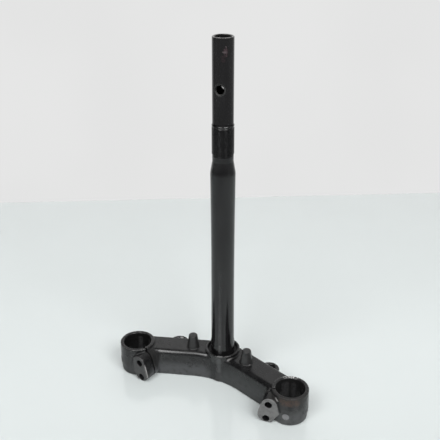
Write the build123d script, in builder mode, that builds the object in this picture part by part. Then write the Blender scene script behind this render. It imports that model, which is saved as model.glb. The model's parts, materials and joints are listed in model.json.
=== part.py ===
"""Lower fork yoke of a motorcycle with its pressed-in steering stem, in millimetres.

The origin is on the stem axis at the yoke's underside. +Z runs up the stem and -Y points to the front.
"""
import os
from math import atan2, cos, degrees, hypot, radians, sin, tan

from build123d import *

parting_height = 14.0        # widest place of the forging, which draws in above and below

# Fork rings: a barrel outside, a plain bore inside
fork_span = 213.5            # between the two fork axes
fork_offset = 34.7           # fork axes in front of the stem axis
fork_bore = 35.0
ring_rise = 3.4              # ring's top above the arm's
ring_top_dia = 44.2
ring_belly_dia = 45.4
ring_foot_dia = 42.2
ring_foot_lead = 1.6
ring_belly_round = 30.0
bore_lead = 0.8              # chamfer at both mouths of the bore

# Arms: a shallow V that reaches from the boss to the rings
arm_width = 34.2             # at the parting
arm_draft = 2.5
arm_height = 37.0
arm_root_back = 5.6          # V's apex behind the stem axis
arm_tip_back = 3.1           # arm's centreline behind the fork axis
arm_rear_blend = 22.0        # round of the back behind the boss
arm_front_round = 6.2
arm_rear_round = 4.0
arm_foot_round = 2.0

# Stem boss in the middle of the yoke
boss_rise = 5.0              # boss's top above the arm's
boss_top_dia = 44.0
boss_dia = 39.6              # in the yoke's plan
boss_bulge = 1.4             # boss ahead of the hollow front between the arms
boss_front_blend = 12.0
boss_flare_foot = 26.0       # height where the flared collar starts
boss_flare_dia = 37.6        # of the collar at its foot
boss_rim_lead = 0.8
seal_pocket_dia = 38.0
seal_pocket_depth = 4.0

# Split ear of each clamp, measured from the fork axis
ear_turn = 10.0              # bolt axis turned outboard from straight ahead
ear_reach = 21.8             # spot-faced front
ear_root = 6.0               # depth behind the fork axis, inside the arm
ear_face_lead = 0.7
pinch_upper_inboard = 21.6
pinch_upper_drop = 11.0      # below the arm's top
pinch_lower_inboard = 24.0
pinch_lower_height = 5.8
pinch_clearance_dia = 8.5
pinch_tapped_dia = 6.8
pinch_tapped_depth = 13.0    # behind the slot
ear_upper_inboard = 20.4
ear_upper_radius = 9.8
ear_lower_radius = 10.4
ear_corner_radius = 2.0
ear_corner_inboard = 10.4
ear_corner_height = 15.4
ear_foot_inboard = 18.6
ear_foot_height = 0.3        # clear of the ground
slot_reach = 6.4             # middle of the slot in front of the fork axis
slot_width = 2.2
overcut = 1.0                # cutting tools run past the surface
near = 0.01                  # how close an edge lies to the place it is chosen by

# Spot on the front of the right-hand ring
spot_dia = 9.0
spot_turn = 9.3
spot_height = 13.0
spot_depth = 0.6

# Steering stops on top of the arms and guide loops behind them, measured along the arm
stop_along = 40.6
stop_forward = 1.6
stop_top_dia = 10.6
stop_draft = 6.3
stop_height = 18.0
stop_top_lead = 1.2
stop_foot_flare = 1.1
stop_sink = 4.0              # buried in the arm
loop_along = 62.5
loop_back = 0.4              # loop's centre behind the arm's rear face at the parting
loop_dia = 25.0
loop_hole_dia = 15.0
loop_drop = 7.0              # loop's top below the arm's
loop_thickness = 7.0
loop_lead = 1.2

# Steering stem, from its foot to its top
stem_top = 436.0
stem_end_lead = 1.0
press_dia = 30.4             # press fit in the boss
seat_dia = 29.8              # lower bearing's seat
seat_length = 13.0           # seat above the boss
tube_foot_dia = 28.9
tube_waist_dia = 28.0
tube_top_dia = 29.1
tube_bore = 22.4
shoulder_length = 14.0
shoulder_round = 18.0
neck_dia = 24.4
neck_length = 2.6
thread_dia = 25.4            # one inch
thread_length = 37.4
thread_lead = 0.6
upper_lead_length = 5.1
upper_dia = 23.9
upper_length = 93.5
upper_bore = 18.5
rim_chamfer = 0.8
cross_hole_dia = 10.0
cross_hole_lead = 1.4        # depth of the countersink at both ends
countersink_angle = 45.0
cross_hole_drop = 55.0       # below the stem's top
cross_hole_turn = 7.0        # outboard from straight ahead

# Places worked out from the sizes above
fork_axis = (fork_span / 2, -fork_offset)
ring_height = arm_height + ring_rise
boss_height = arm_height + boss_rise
pinch_upper_height = arm_height - pinch_upper_drop
loop_top = arm_height - loop_drop
arm_rise = arm_root_back + fork_offset - arm_tip_back
arm_sweep = degrees(atan2(arm_rise, fork_span / 2))
arm_length = hypot(arm_rise, fork_span / 2)
half_width = arm_width / 2
arm_slant = 1 / cos(radians(arm_sweep))
arm_rear_apex = arm_root_back + half_width * arm_slant
arm_front_apex = arm_root_back - half_width * arm_slant
arm_front_blend = (boss_dia / 2 - boss_bulge + arm_front_apex) / (arm_slant - 1)
arm_plane = Plane(
    origin=(0, arm_root_back, 0),
    x_dir=(cos(radians(arm_sweep)), -sin(radians(arm_sweep)), 0),
    z_dir=(0, 0, 1),
)
ear_plane = Plane(
    origin=(*fork_axis, 0),
    x_dir=(cos(radians(ear_turn)), sin(radians(ear_turn)), 0),
    z_dir=(sin(radians(ear_turn)), -cos(radians(ear_turn)), 0),
)
shoulder_top = stem_top - upper_length - upper_lead_length - thread_length - neck_length
shoulder_foot = shoulder_top - shoulder_length
seat_top = boss_height + seat_length


def at_arm(along: float, aside: float) -> Vector:
    """Return the place on the right arm at a distance along it and behind its centreline."""
    return arm_plane.from_local_coords(Vector(along, aside, 0))


def on_arm(edge: Edge) -> Vector:
    """Return an edge's middle as its place along, behind and above the arm that it belongs to."""
    middle = edge.center()
    return arm_plane.to_local_coords(Vector(abs(middle.X), middle.Y, middle.Z))


def is_front(edge: Edge) -> bool:
    """Tell whether an edge runs along the front of the arms."""
    return on_arm(edge).Y < -half_width / 2


def is_rear(edge: Edge) -> bool:
    """Tell whether an edge runs along the back of the arms."""
    return on_arm(edge).Y > half_width / 2


stop_axis = at_arm(stop_along, -stop_forward)

# Right-hand end of the yoke: ear, ring, steering stop and guide loop
with BuildPart() as clamp_end:
    with BuildSketch(ear_plane.offset(ear_reach)):
        with Locations((-ear_upper_inboard, pinch_upper_height)):
            Circle(ear_upper_radius)
        with Locations((-pinch_lower_inboard, ear_foot_height + ear_lower_radius)):
            Circle(ear_lower_radius)
        ear_corner = (-ear_corner_inboard, ear_corner_height)
        ear_foot = (-ear_foot_inboard, ear_foot_height + ear_corner_radius)
        with Locations(ear_corner, ear_foot):
            Circle(ear_corner_radius)
        make_hull()
    extrude(amount=-(ear_reach + ear_root))
    ear_face = clamp_end.faces().filter_by(GeomType.PLANE).sort_by(Axis((0, 0, 0), ear_plane.z_dir))[-1]
    chamfer(ear_face.edges(), ear_face_lead)

    with BuildSketch(Plane(origin=(*fork_axis, 0), x_dir=(1, 0, 0), z_dir=(0, -1, 0))) as ring_section:
        with BuildLine():
            Polyline(
                (0, 0),
                (ring_foot_dia / 2, 0),
                (ring_belly_dia / 2, parting_height),
                (ring_top_dia / 2, ring_height),
                (0, ring_height),
                close=True,
            )
        make_face()
        belly = ring_section.vertices().sort_by_distance((ring_belly_dia / 2, parting_height))[0]
        fillet(belly, ring_belly_round)
        chamfer(ring_section.vertices().group_by(Axis.Y)[0].sort_by(Axis.X)[-1], ring_foot_lead)
    revolve(axis=Axis((*fork_axis, 0), (0, 0, 1)))

    with BuildSketch(Plane(origin=stop_axis, x_dir=(1, 0, 0), z_dir=(0, -1, 0))) as stop_section:
        stop_top = arm_height + stop_height
        stop_slope = tan(radians(stop_draft))
        neck_radius = stop_top_dia / 2 + (stop_height - stop_foot_flare) * stop_slope
        with BuildLine():
            Polyline(
                (0, arm_height - stop_sink),
                (neck_radius + stop_foot_flare + stop_sink, arm_height - stop_sink),
                (neck_radius, arm_height + stop_foot_flare),
                (stop_top_dia / 2, stop_top),
                (0, stop_top),
                close=True,
            )
        make_face()
        chamfer(stop_section.vertices().group_by(Axis.Y)[-1].sort_by(Axis.X)[-1], stop_top_lead)
    revolve(axis=Axis(stop_axis, (0, 0, 1)))

    with BuildSketch(Plane.XY.offset(loop_top)):
        with Locations(at_arm(loop_along, half_width + loop_back)):
            Circle(loop_dia / 2)
            Circle(loop_hole_dia / 2, mode=Mode.SUBTRACT)
    extrude(amount=-loop_thickness)
    loop_edges = clamp_end.solids().sort_by(Axis.Y)[-1].edges().filter_by(GeomType.CIRCLE)
    chamfer(loop_edges, loop_lead)

# Cutting tools of one clamp: slot and pinch-bolt holes
with BuildPart() as clamp_cuts:
    slot_length = pinch_lower_inboard + ear_lower_radius + overcut
    with BuildSketch(Plane(origin=(*fork_axis, -overcut), x_dir=ear_plane.x_dir, z_dir=(0, 0, 1))):
        with Locations((0, -slot_reach)):
            Rectangle(slot_length, slot_width, align=(Align.MAX, Align.CENTER))
    extrude(amount=ring_height + 2 * overcut)
    pinch_places = [(-pinch_upper_inboard, pinch_upper_height), (-pinch_lower_inboard, pinch_lower_height)]
    with BuildSketch(ear_plane.offset(ear_reach + overcut)):
        with Locations(*pinch_places):
            Circle(pinch_clearance_dia / 2)
    extrude(amount=-(ear_reach + overcut - slot_reach))
    with BuildSketch(ear_plane.offset(slot_reach)):
        with Locations(*pinch_places):
            Circle(pinch_tapped_dia / 2)
    extrude(amount=-pinch_tapped_depth)

# Yoke forging
with BuildPart() as lower_yoke:
    with BuildSketch(Plane.XY.offset(parting_height)) as arm_plan:
        with BuildLine():
            Polyline(
                (0, arm_front_apex),
                at_arm(arm_length, -half_width),
                at_arm(arm_length, half_width),
                (0, arm_rear_apex),
            )
            mirror(about=Plane.YZ)
        make_face()
        apexes = arm_plan.vertices().filter_by_position(Axis.X, -near, near).sort_by(Axis.Y)
        fillet(apexes[0], arm_front_blend)
        fillet(arm_plan.vertices().sort_by(Axis.Y)[-1], arm_rear_blend)
        Circle(boss_dia / 2)
        boss_corners = arm_plan.vertices().filter_by_position(Axis.X, -boss_dia / 2, boss_dia / 2)
        fillet(boss_corners.group_by(Axis.Y)[0], boss_front_blend)
    extrude(amount=arm_height - parting_height, taper=arm_draft)
    lower_half = extrude(arm_plan.sketch, amount=parting_height, taper=arm_draft, mode=Mode.PRIVATE)
    mirror(lower_half, about=Plane.XY.offset(parting_height))
    top_edges = lower_yoke.faces().sort_by(Axis.Z)[-1].edges()
    fillet(top_edges.filter_by(is_front), arm_front_round)
    top_edges = lower_yoke.faces().sort_by(Axis.Z)[-1].edges()
    fillet(top_edges.filter_by(is_rear), arm_rear_round)
    foot_edges = lower_yoke.faces().sort_by(Axis.Z)[0].edges()
    fillet(foot_edges.filter_by(is_front) + foot_edges.filter_by(is_rear), arm_foot_round)

    add(clamp_end.part)
    mirror(clamp_end.part, about=Plane.YZ)

    with BuildSketch(Plane.XZ) as boss_section:
        with BuildLine():
            Polyline(
                (0, boss_flare_foot),
                (boss_flare_dia / 2, boss_flare_foot),
                (boss_top_dia / 2, boss_height),
                (0, boss_height),
                close=True,
            )
        make_face()
        chamfer(boss_section.vertices().group_by(Axis.Y)[-1].sort_by(Axis.X)[-1], boss_rim_lead)
    revolve(axis=Axis.Z)

    fork_places = [fork_axis, (-fork_axis[0], fork_axis[1])]
    with Locations(*fork_places):
        Hole(fork_bore / 2)
    arcs = lower_yoke.edges().filter_by(GeomType.CIRCLE)
    chamfer(arcs.filter_by(lambda arc: abs(arc.radius - fork_bore / 2) < near), bore_lead)
    with Locations((0, 0, boss_height)):
        CounterBoreHole(press_dia / 2, seal_pocket_dia / 2, seal_pocket_depth)
    add(clamp_cuts.part, mode=Mode.SUBTRACT)
    mirror(clamp_cuts.part, about=Plane.YZ, mode=Mode.SUBTRACT)

    spot_out = Vector(sin(radians(spot_turn)), -cos(radians(spot_turn)), 0)
    spot_seat = Vector(*fork_axis, spot_height) + spot_out * (ring_belly_dia / 2 - spot_depth)
    with BuildSketch(Plane(origin=spot_seat, x_dir=(0, 0, 1), z_dir=spot_out)):
        Circle(spot_dia / 2)
    extrude(amount=spot_depth + overcut, mode=Mode.SUBTRACT)

# Steering stem
with BuildPart() as steering_stem:
    with BuildSketch(Plane.XZ) as stem_section:
        with BuildLine():
            foot = Polyline(
                (tube_bore / 2, 0),
                (press_dia / 2 - stem_end_lead, 0),
                (press_dia / 2, stem_end_lead),
                (press_dia / 2, boss_height - seal_pocket_depth),
                (seat_dia / 2, boss_height - seal_pocket_depth),
                (seat_dia / 2, seat_top),
                (tube_foot_dia / 2, seat_top + (seat_dia - tube_foot_dia) / 2),
            )
            waist_height = (seat_top + shoulder_foot) / 2
            waist = ThreePointArc(
                foot @ 1, (tube_waist_dia / 2, waist_height), (tube_top_dia / 2, shoulder_foot)
            )
            thread_top = shoulder_top + neck_length + thread_length
            Polyline(
                waist @ 1,
                (neck_dia / 2, shoulder_top),
                (neck_dia / 2, shoulder_top + neck_length),
                (thread_dia / 2, shoulder_top + neck_length + thread_lead),
                (thread_dia / 2, thread_top),
                (upper_dia / 2, thread_top + upper_lead_length),
                (upper_dia / 2, stem_top - rim_chamfer),
                (upper_dia / 2 - rim_chamfer, stem_top),
                (upper_bore / 2 + rim_chamfer, stem_top),
                (upper_bore / 2, stem_top - rim_chamfer),
                (upper_bore / 2, shoulder_top),
                (tube_bore / 2, shoulder_foot),
                foot @ 0,
            )
        make_face()
        shoulder_corner = stem_section.vertices().sort_by_distance((tube_top_dia / 2, shoulder_foot))[0]
        fillet(shoulder_corner, shoulder_round)
    revolve(axis=Axis.Z)
    hole_out = (sin(radians(cross_hole_turn)), -cos(radians(cross_hole_turn)), 0)
    hole_plane = Plane(origin=(0, 0, stem_top - cross_hole_drop), x_dir=(0, 0, 1), z_dir=hole_out)
    with BuildSketch(hole_plane):
        Circle(cross_hole_dia / 2)
    extrude(amount=upper_dia, both=True, mode=Mode.SUBTRACT)
    with BuildSketch(hole_plane.offset(upper_dia / 2)):
        Circle(cross_hole_dia / 2 + cross_hole_lead)
    cone = extrude(amount=-cross_hole_lead, taper=countersink_angle, mode=Mode.SUBTRACT)
    mirror(cone, about=hole_plane, mode=Mode.SUBTRACT)

lower_yoke.part.label = "lower_yoke"
steering_stem.part.label = "steering_stem"

os.makedirs("parts", exist_ok=True)
export_step(lower_yoke.part, "parts/lower_yoke.step")
export_step(steering_stem.part, "parts/steering_stem.step")
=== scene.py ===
"""Dresses the lower fork yoke of a motorcycle and its steering stem, and lights them in a plain studio.

Lengths are in metres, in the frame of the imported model: the origin is on the stem axis at the yoke's
underside, +Z runs up the stem and -Y points to the front. A name that ends in _mm holds millimetres.
"""

import json
import logging
from dataclasses import dataclass
from enum import Enum
from math import cos, pi, radians, sin, sqrt, tau
from typing import ClassVar, Sequence, Union

import bpy
import numpy as np
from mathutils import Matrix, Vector


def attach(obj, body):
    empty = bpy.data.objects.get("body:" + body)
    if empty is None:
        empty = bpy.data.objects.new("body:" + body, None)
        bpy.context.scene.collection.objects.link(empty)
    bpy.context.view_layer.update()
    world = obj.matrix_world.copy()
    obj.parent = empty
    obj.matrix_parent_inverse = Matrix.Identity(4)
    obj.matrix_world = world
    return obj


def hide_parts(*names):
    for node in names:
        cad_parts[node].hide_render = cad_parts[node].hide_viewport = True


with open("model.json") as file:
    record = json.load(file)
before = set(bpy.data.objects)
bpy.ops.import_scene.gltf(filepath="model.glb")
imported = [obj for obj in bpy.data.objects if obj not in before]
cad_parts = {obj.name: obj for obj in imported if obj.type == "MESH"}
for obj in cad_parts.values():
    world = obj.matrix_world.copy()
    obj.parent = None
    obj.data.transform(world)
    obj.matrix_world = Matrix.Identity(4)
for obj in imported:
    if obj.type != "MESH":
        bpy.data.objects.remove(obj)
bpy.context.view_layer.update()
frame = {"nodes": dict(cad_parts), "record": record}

log = logging.getLogger("fork_yoke")

MM = 0.001
UP = Vector((0.0, 0.0, 1.0))
BODY = "root"

Colour = tuple[float, float, float]
Socket = bpy.types.NodeSocket
Value = Union[float, Socket]
Ring = tuple[float, float]
Span = tuple[float, float]

MIDDLE: Span = (0.3, 0.7)
# Near-black laid on as painted shade in creases, slots and dark corners.
PAINTED_SHADE: Colour = (0.003, 0.003, 0.003)
# Pale grey for rubbed bare edges and for painted highlights.
BARE_AND_HIGHLIGHT: Colour = (0.36, 0.352, 0.345)


class Side(Enum):
    """The two ends of the yoke, as the sign of their X."""

    RIGHT = 1
    LEFT = -1


class Sum(Enum):
    """Arithmetic that the finishes use."""

    ADD = "ADD"
    LESS = "SUBTRACT"
    TIMES = "MULTIPLY"
    LARGER = "MAXIMUM"


def mount(name: str) -> dict:
    """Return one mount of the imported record.

    Args:
        name: the mount's name in the record.

    Returns:
        The mount with its place, axis and dimensions.
    """
    return next(entry for entry in frame["record"]["mounts"] if entry["name"] == name)


def at_mm(x: float, y: float, z: float) -> Vector:
    """Return the place that has these coordinates in millimetres."""
    return Vector((x, y, z)) * MM


def rise_mm(height: float) -> Vector:
    """Return a step of so many millimetres straight up."""
    return UP * height * MM


def start_clean() -> None:
    """Leave nothing selected, so that an operator works on the next piece alone."""
    bpy.ops.object.select_all(action="DESELECT")


def pick(piece: bpy.types.Object) -> None:
    """Select one piece and make it the active one.

    Args:
        piece: the piece that the next operator works on.
    """
    start_clean()
    piece.select_set(True)
    bpy.context.view_layer.objects.active = piece


def apply_modifier(piece: bpy.types.Object, kind: str, **settings: object) -> None:
    """Give a piece a modifier and apply it.

    Args:
        piece: the piece that is changed.
        kind: Blender's name for the modifier.
        settings: the modifier's properties.
    """
    pick(piece)
    modifier = piece.modifiers.new(kind.title(), kind)
    for key, value in settings.items():
        setattr(modifier, key, value)
    bpy.ops.object.modifier_apply(modifier=modifier.name)


def mend_mesh(piece: bpy.types.Object, gap_mm: float) -> None:
    """Merge a piece's doubled points and turn its faces outwards.

    Args:
        piece: the piece that is changed.
        gap_mm: how close two points are to count as one.
    """
    pick(piece)
    bpy.ops.object.mode_set(mode="EDIT")
    bpy.ops.mesh.select_all(action="SELECT")
    bpy.ops.mesh.remove_doubles(threshold=gap_mm * MM)
    bpy.ops.mesh.normals_make_consistent(inside=False)
    bpy.ops.object.mode_set(mode="OBJECT")


def read_points(mesh: bpy.types.Mesh, what: str) -> np.ndarray:
    """Read one vector for each of a mesh's points.

    Args:
        mesh: the mesh that is read.
        what: co for the points' places, normal for their directions.

    Returns:
        A row of X, Y and Z for each point.
    """
    values = np.empty(len(mesh.vertices) * 3)
    mesh.vertices.foreach_get(what, values)
    return values.reshape(-1, 3)


class FinishNodes:
    """Node tree of one finish, with a short method for each kind of node that it needs."""

    def __init__(self, name: str) -> None:
        """Start a material with a Principled surface that reads Object coordinates.

        Args:
            name: the material's name.
        """
        self.material = bpy.data.materials.new(name)
        self.material.use_nodes = True
        self.nodes = self.material.node_tree.nodes
        self.links = self.material.node_tree.links
        self.surface = self.nodes["Principled BSDF"]
        self.place = self.nodes.new("ShaderNodeTexCoord").outputs["Object"]

    def feed(self, socket: Socket, value: Union[Value, Sequence[float]]) -> None:
        """Link a socket to another node's output, or set its value.

        Args:
            socket: the input that is fed.
            value: a number or vector, or the output that drives it.
        """
        if isinstance(value, bpy.types.NodeSocket):
            self.links.new(value, socket)
        else:
            socket.default_value = value

    def calc(self, step: Sum, first: Value, second: Value) -> Socket:
        """Reckon with two values.

        Args:
            step: what is done with them.
            first: one value.
            second: the other value.

        Returns:
            Their sum, difference, product or larger one.
        """
        node = self.nodes.new("ShaderNodeMath")
        node.operation = step.value
        self.feed(node.inputs[0], first)
        self.feed(node.inputs[1], second)
        return node.outputs[0]

    def remap(self, value: Socket, low: float, high: float, start: float = 0.0, end: float = 1.0) -> Socket:
        """Return a value that eases from start to end while another goes from low to high.

        Args:
            value: the value that drives it.
            low: where it starts to change.
            high: where it has changed.
            start: result at low and before it.
            end: result at high and past it.

        Returns:
            The eased value.
        """
        node = self.nodes.new("ShaderNodeMapRange")
        node.interpolation_type = "SMOOTHSTEP"
        self.feed(node.inputs["Value"], value)
        node.inputs["From Min"].default_value = low
        node.inputs["From Max"].default_value = high
        node.inputs["To Min"].default_value = start
        node.inputs["To Max"].default_value = end
        return node.outputs["Result"]

    def noise(
        self, grain_mm: float, detail: float = 3.0, stretch: Sequence[float] = (1.0, 1.0, 1.0)
    ) -> Socket:
        """Return noise whose grain has a real size.

        Args:
            grain_mm: size of one grain.
            detail: how many finer layers it has.
            stretch: how many times finer it is along each axis.

        Returns:
            The noise, about 0.5 in its middle.
        """
        scaled = self.nodes.new("ShaderNodeMapping")
        self.feed(scaled.inputs["Vector"], self.place)
        scaled.inputs["Scale"].default_value = stretch
        node = self.nodes.new("ShaderNodeTexNoise")
        self.feed(node.inputs["Vector"], scaled.outputs["Vector"])
        node.inputs["Scale"].default_value = 1.0 / (grain_mm * MM)
        node.inputs["Detail"].default_value = detail
        return node.outputs["Fac"]

    def mix(self, share: Value, first: Union[Colour, Socket], second: Union[Colour, Socket]) -> Socket:
        """Lay one colour over another.

        Args:
            share: how far the second colour shows.
            first: the colour below.
            second: the colour on top.

        Returns:
            The mixed colour.
        """
        node = self.nodes.new("ShaderNodeMix")
        node.data_type = "RGBA"
        self.feed(node.inputs["Factor"], share)
        for socket, colour in ((node.inputs["A"], first), (node.inputs["B"], second)):
            self.feed(socket, colour if isinstance(colour, bpy.types.NodeSocket) else (*colour, 1.0))
        return node.outputs["Result"]

    def blend(self, share: Socket, first: Socket, second: float) -> Socket:
        """Return a value that goes from the first to the second as the share rises."""
        change = self.calc(Sum.TIMES, share, self.calc(Sum.LESS, second, first))
        return self.calc(Sum.ADD, first, change)

    def along(self, direction: Vector) -> Socket:
        """Return how far a place lies along a direction from the origin."""
        return self.vector("DOT_PRODUCT", self.place, direction).outputs["Value"]

    def vector(self, step: str, first: Socket, second: Union[Vector, Socket]) -> bpy.types.Node:
        """Add a node that reckons with two vectors.

        Args:
            step: Blender's name for what is done with them.
            first: one vector.
            second: the other vector.

        Returns:
            The node.
        """
        node = self.nodes.new("ShaderNodeVectorMath")
        node.operation = step
        self.feed(node.inputs[0], first)
        self.feed(node.inputs[1], second)
        return node

    def beside(self, start: Vector, end: Vector, reach: float, fade: float) -> Socket:
        """Return 1 within reach of a straight stretch, easing to 0 over the fade beyond it.

        Args:
            start: one end of the stretch.
            end: its other end.
            reach: how far the full value goes.
            fade: how much further the last of it goes.

        Returns:
            The share at each place.
        """
        run = end - start
        offset = self.vector("SUBTRACT", self.place, start).outputs["Vector"]
        share = self.vector("DOT_PRODUCT", offset, run / run.length_squared).outputs["Value"]
        inside = self.nodes.new("ShaderNodeClamp")
        self.feed(inside.inputs["Value"], share)
        nearest = self.nodes.new("ShaderNodeVectorMath")
        nearest.operation = "SCALE"
        nearest.inputs[0].default_value = run
        self.feed(nearest.inputs["Scale"], inside.outputs["Result"])
        gap = self.vector("DISTANCE", offset, nearest.outputs["Vector"]).outputs["Value"]
        return self.remap(gap, reach, reach + fade, 1.0, 0.0)

    def past(self, direction: Vector, origin: Vector, distance: float, fade: float) -> Socket:
        """Return 1 further than a distance from an origin along a direction, easing to 0 before it.

        Args:
            direction: the way that the distance is measured.
            origin: where it is measured from.
            distance: where the full value starts.
            fade: how far before that it is still 0.

        Returns:
            The share at each place.
        """
        start = origin.dot(direction) + distance
        return self.remap(self.along(direction), start - fade, start)

    def seen(self) -> Socket:
        """Tell the rays that show a surface from those that only light it.

        Returns:
            1 where the surface is seen straight, mirrored or through glass.
        """
        path = self.nodes.new("ShaderNodeLightPath").outputs
        mirrored = self.calc(Sum.LARGER, path["Is Glossy Ray"], path["Is Transmission Ray"])
        return self.calc(Sum.LARGER, path["Is Camera Ray"], mirrored)

    def attribute(self, name: str) -> Socket:
        """Read a value that the mesh holds at each of its points.

        Args:
            name: the attribute's name.

        Returns:
            The value.
        """
        node = self.nodes.new("ShaderNodeAttribute")
        node.attribute_name = name
        return node.outputs["Fac"]

    def bump(self, height: Socket, depth_mm: float, strength: float) -> None:
        """Let a height dent the surface.

        Args:
            height: the height, from 0 to 1.
            depth_mm: the depth of a full dent.
            strength: how far the dents show.
        """
        node = self.nodes.new("ShaderNodeBump")
        node.inputs["Strength"].default_value = strength
        node.inputs["Distance"].default_value = depth_mm * MM
        self.feed(node.inputs["Height"], height)
        self.feed(self.surface.inputs["Normal"], node.outputs["Normal"])


@dataclass(frozen=True)
class Mark:
    """A worn, dusty or stained place on a painted surface, or a painted highlight or painted shade there,
    along a short straight stretch.
    """

    start: Vector
    end: Vector
    reach_mm: float
    fade_mm: float
    colour: Colour
    share: float = 1.0
    grain_mm: float = 2.0
    breaks: tuple[float, float] = (0.3, 0.5)
    rough: float = 0.6

    def cover(self, nodes: FinishNodes) -> Socket:
        """Lay the mark out, broken up by its grain.

        Args:
            nodes: the finish that it lies on.

        Returns:
            How far it hides the paint.
        """
        body = nodes.beside(self.start, self.end, self.reach_mm * MM, self.fade_mm * MM)
        broken = nodes.remap(nodes.noise(self.grain_mm), *self.breaks)
        return nodes.calc(Sum.TIMES, nodes.calc(Sum.TIMES, body, broken), self.share)


@dataclass(frozen=True)
class SpotFace:
    """The machined front of a clamp ear, where the bolt heads have rubbed the paint away."""

    axis: Vector
    ahead: Vector
    inboard: Vector
    reach_mm: float
    inboard_mm: float
    colour: Colour
    share: float
    rough: float = 0.6
    fade_mm: float = 0.3
    inboard_ease: float = 8.0
    cloud_mm: float = 5.0
    cloud_span: Span = (0.3, 0.6)
    cloud_low: float = 0.7

    def cover(self, nodes: FinishNodes) -> Socket:
        """Lay the bare face out, with a faint cloud in it.

        Args:
            nodes: the finish that it breaks through.

        Returns:
            How far it hides the paint.
        """
        ahead = nodes.past(self.ahead, self.axis, self.reach_mm * MM, self.fade_mm * MM)
        inner = self.inboard_mm * MM
        inboard = nodes.past(self.inboard, self.axis, inner, inner / self.inboard_ease)
        cloud = nodes.remap(nodes.noise(self.cloud_mm, 4.0), *self.cloud_span, self.cloud_low, 1.0)
        face = nodes.calc(Sum.TIMES, ahead, inboard)
        return nodes.calc(Sum.TIMES, nodes.calc(Sum.TIMES, face, cloud), self.share)


def lay_marks(
    nodes: FinishNodes, marks: Sequence[Union[Mark, SpotFace]], colour: Socket, rough: Socket
) -> tuple[Socket, Socket]:
    """Lay marks over a paint, each one over those before it.

    Args:
        nodes: the paint's finish.
        marks: places where the paint differs.
        colour: the paint's own colour.
        rough: its own roughness.

    Returns:
        The colour and the roughness with the marks.
    """
    for mark in marks:
        cover = mark.cover(nodes)
        colour = nodes.mix(cover, colour, mark.colour)
        rough = nodes.blend(cover, rough, mark.rough)
    return colour, rough


@dataclass(frozen=True)
class YokePaint:
    """Old gloss black over a forged skin, rubbed on its edges, smooth in its bores and darkened in its
    creases as painted shade.
    """

    name: str = "yoke_paint"
    black: Colour = (0.0052, 0.0052, 0.0056)
    faded: Colour = (0.011, 0.011, 0.0115)
    rubbed: Colour = (0.1, 0.098, 0.096)
    sheen_low: float = 0.2
    sheen_high: float = 0.33
    crease_shade_rough: float = 0.7
    cloud_mm: float = 22.0
    cloud_span: Span = (0.4, 0.72)
    sheen_mm: float = 8.0
    chip_mm: float = 3.0
    chip_span: Span = (0.34, 0.62)
    edge_span: Span = (0.4, 0.95)
    skin_fine_mm: float = 2.2
    skin_coarse_mm: float = 7.0
    skin_depth_mm: float = 0.12
    skin_strength: float = 0.22

    def make(self, marks: Sequence[Union[Mark, SpotFace]]) -> bpy.types.Material:
        """Build the material.

        Args:
            marks: places where the paint is worn, dusty or bare, and places of painted highlight and painted
                shade.

        Returns:
            The finished material.
        """
        nodes = FinishNodes(self.name)
        cloud = nodes.remap(nodes.noise(self.cloud_mm, 4.0), *self.cloud_span)
        colour = nodes.mix(cloud, self.black, self.faded)
        rough = nodes.remap(nodes.noise(self.sheen_mm, 4.0), *MIDDLE, self.sheen_low, self.sheen_high)
        broken = nodes.remap(nodes.noise(self.chip_mm, 5.0), *self.chip_span)
        edge = nodes.remap(nodes.attribute(Yoke.WEAR), *self.edge_span)
        colour = nodes.mix(nodes.calc(Sum.TIMES, edge, broken), colour, self.rubbed)
        colour, rough = lay_marks(nodes, marks, colour, rough)
        # Concave creases are darkened here as painted shade, with the roughness raised.
        crease = nodes.attribute(Yoke.CREASE)
        colour = nodes.mix(crease, colour, PAINTED_SHADE)
        rough = nodes.blend(crease, rough, self.crease_shade_rough)
        nodes.feed(nodes.surface.inputs["Base Color"], colour)
        nodes.feed(nodes.surface.inputs["Roughness"], rough)
        fine = nodes.noise(self.skin_fine_mm, 2.0)
        coarse = nodes.noise(self.skin_coarse_mm, 2.0)
        nodes.bump(nodes.calc(Sum.ADD, fine, coarse), self.skin_depth_mm, self.skin_strength)
        return nodes.material


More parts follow.
